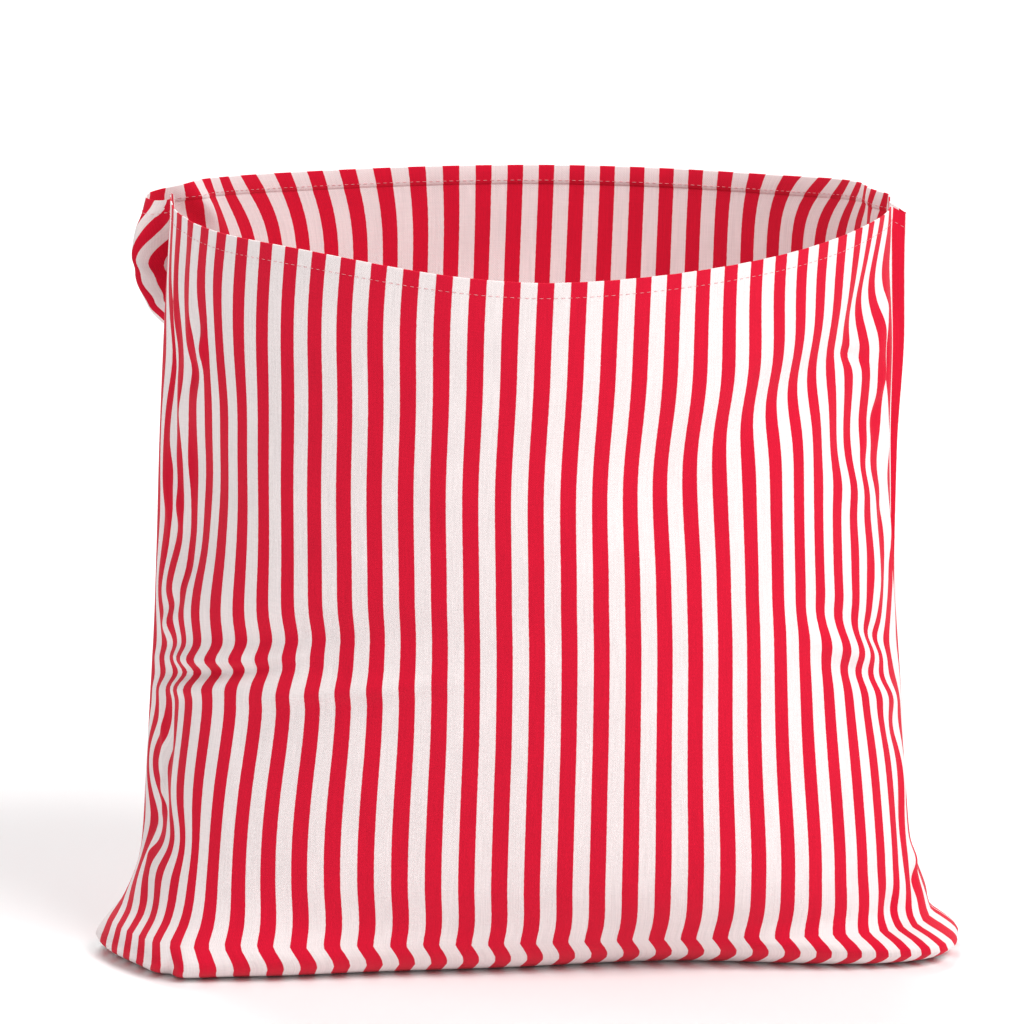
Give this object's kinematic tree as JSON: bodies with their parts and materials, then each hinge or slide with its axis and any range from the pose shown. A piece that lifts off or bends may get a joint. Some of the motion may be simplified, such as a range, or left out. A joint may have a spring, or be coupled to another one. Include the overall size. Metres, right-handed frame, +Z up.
{
  "type": "bread bag",
  "caption": "Red and white striped cotton bread bag, standing open on its base, with a stitched hem round the rim.",
  "frame": {"origin": "middle of the base, on the surface the bag stands on", "axes": "+Z up out of the mouth, -Y towards the front of the bag, +X towards the flat seam band at the right"},
  "size_m": [0.3465, 0.2088, 0.3079],
  "materials": {
    "striped_cotton": "matt plain weave with even red and white stripes running up the bag"
  },
  "bodies": {
    "root": {"front_panel": "striped_cotton", "back_panel": "striped_cotton"}
  },
  "joints": []
}
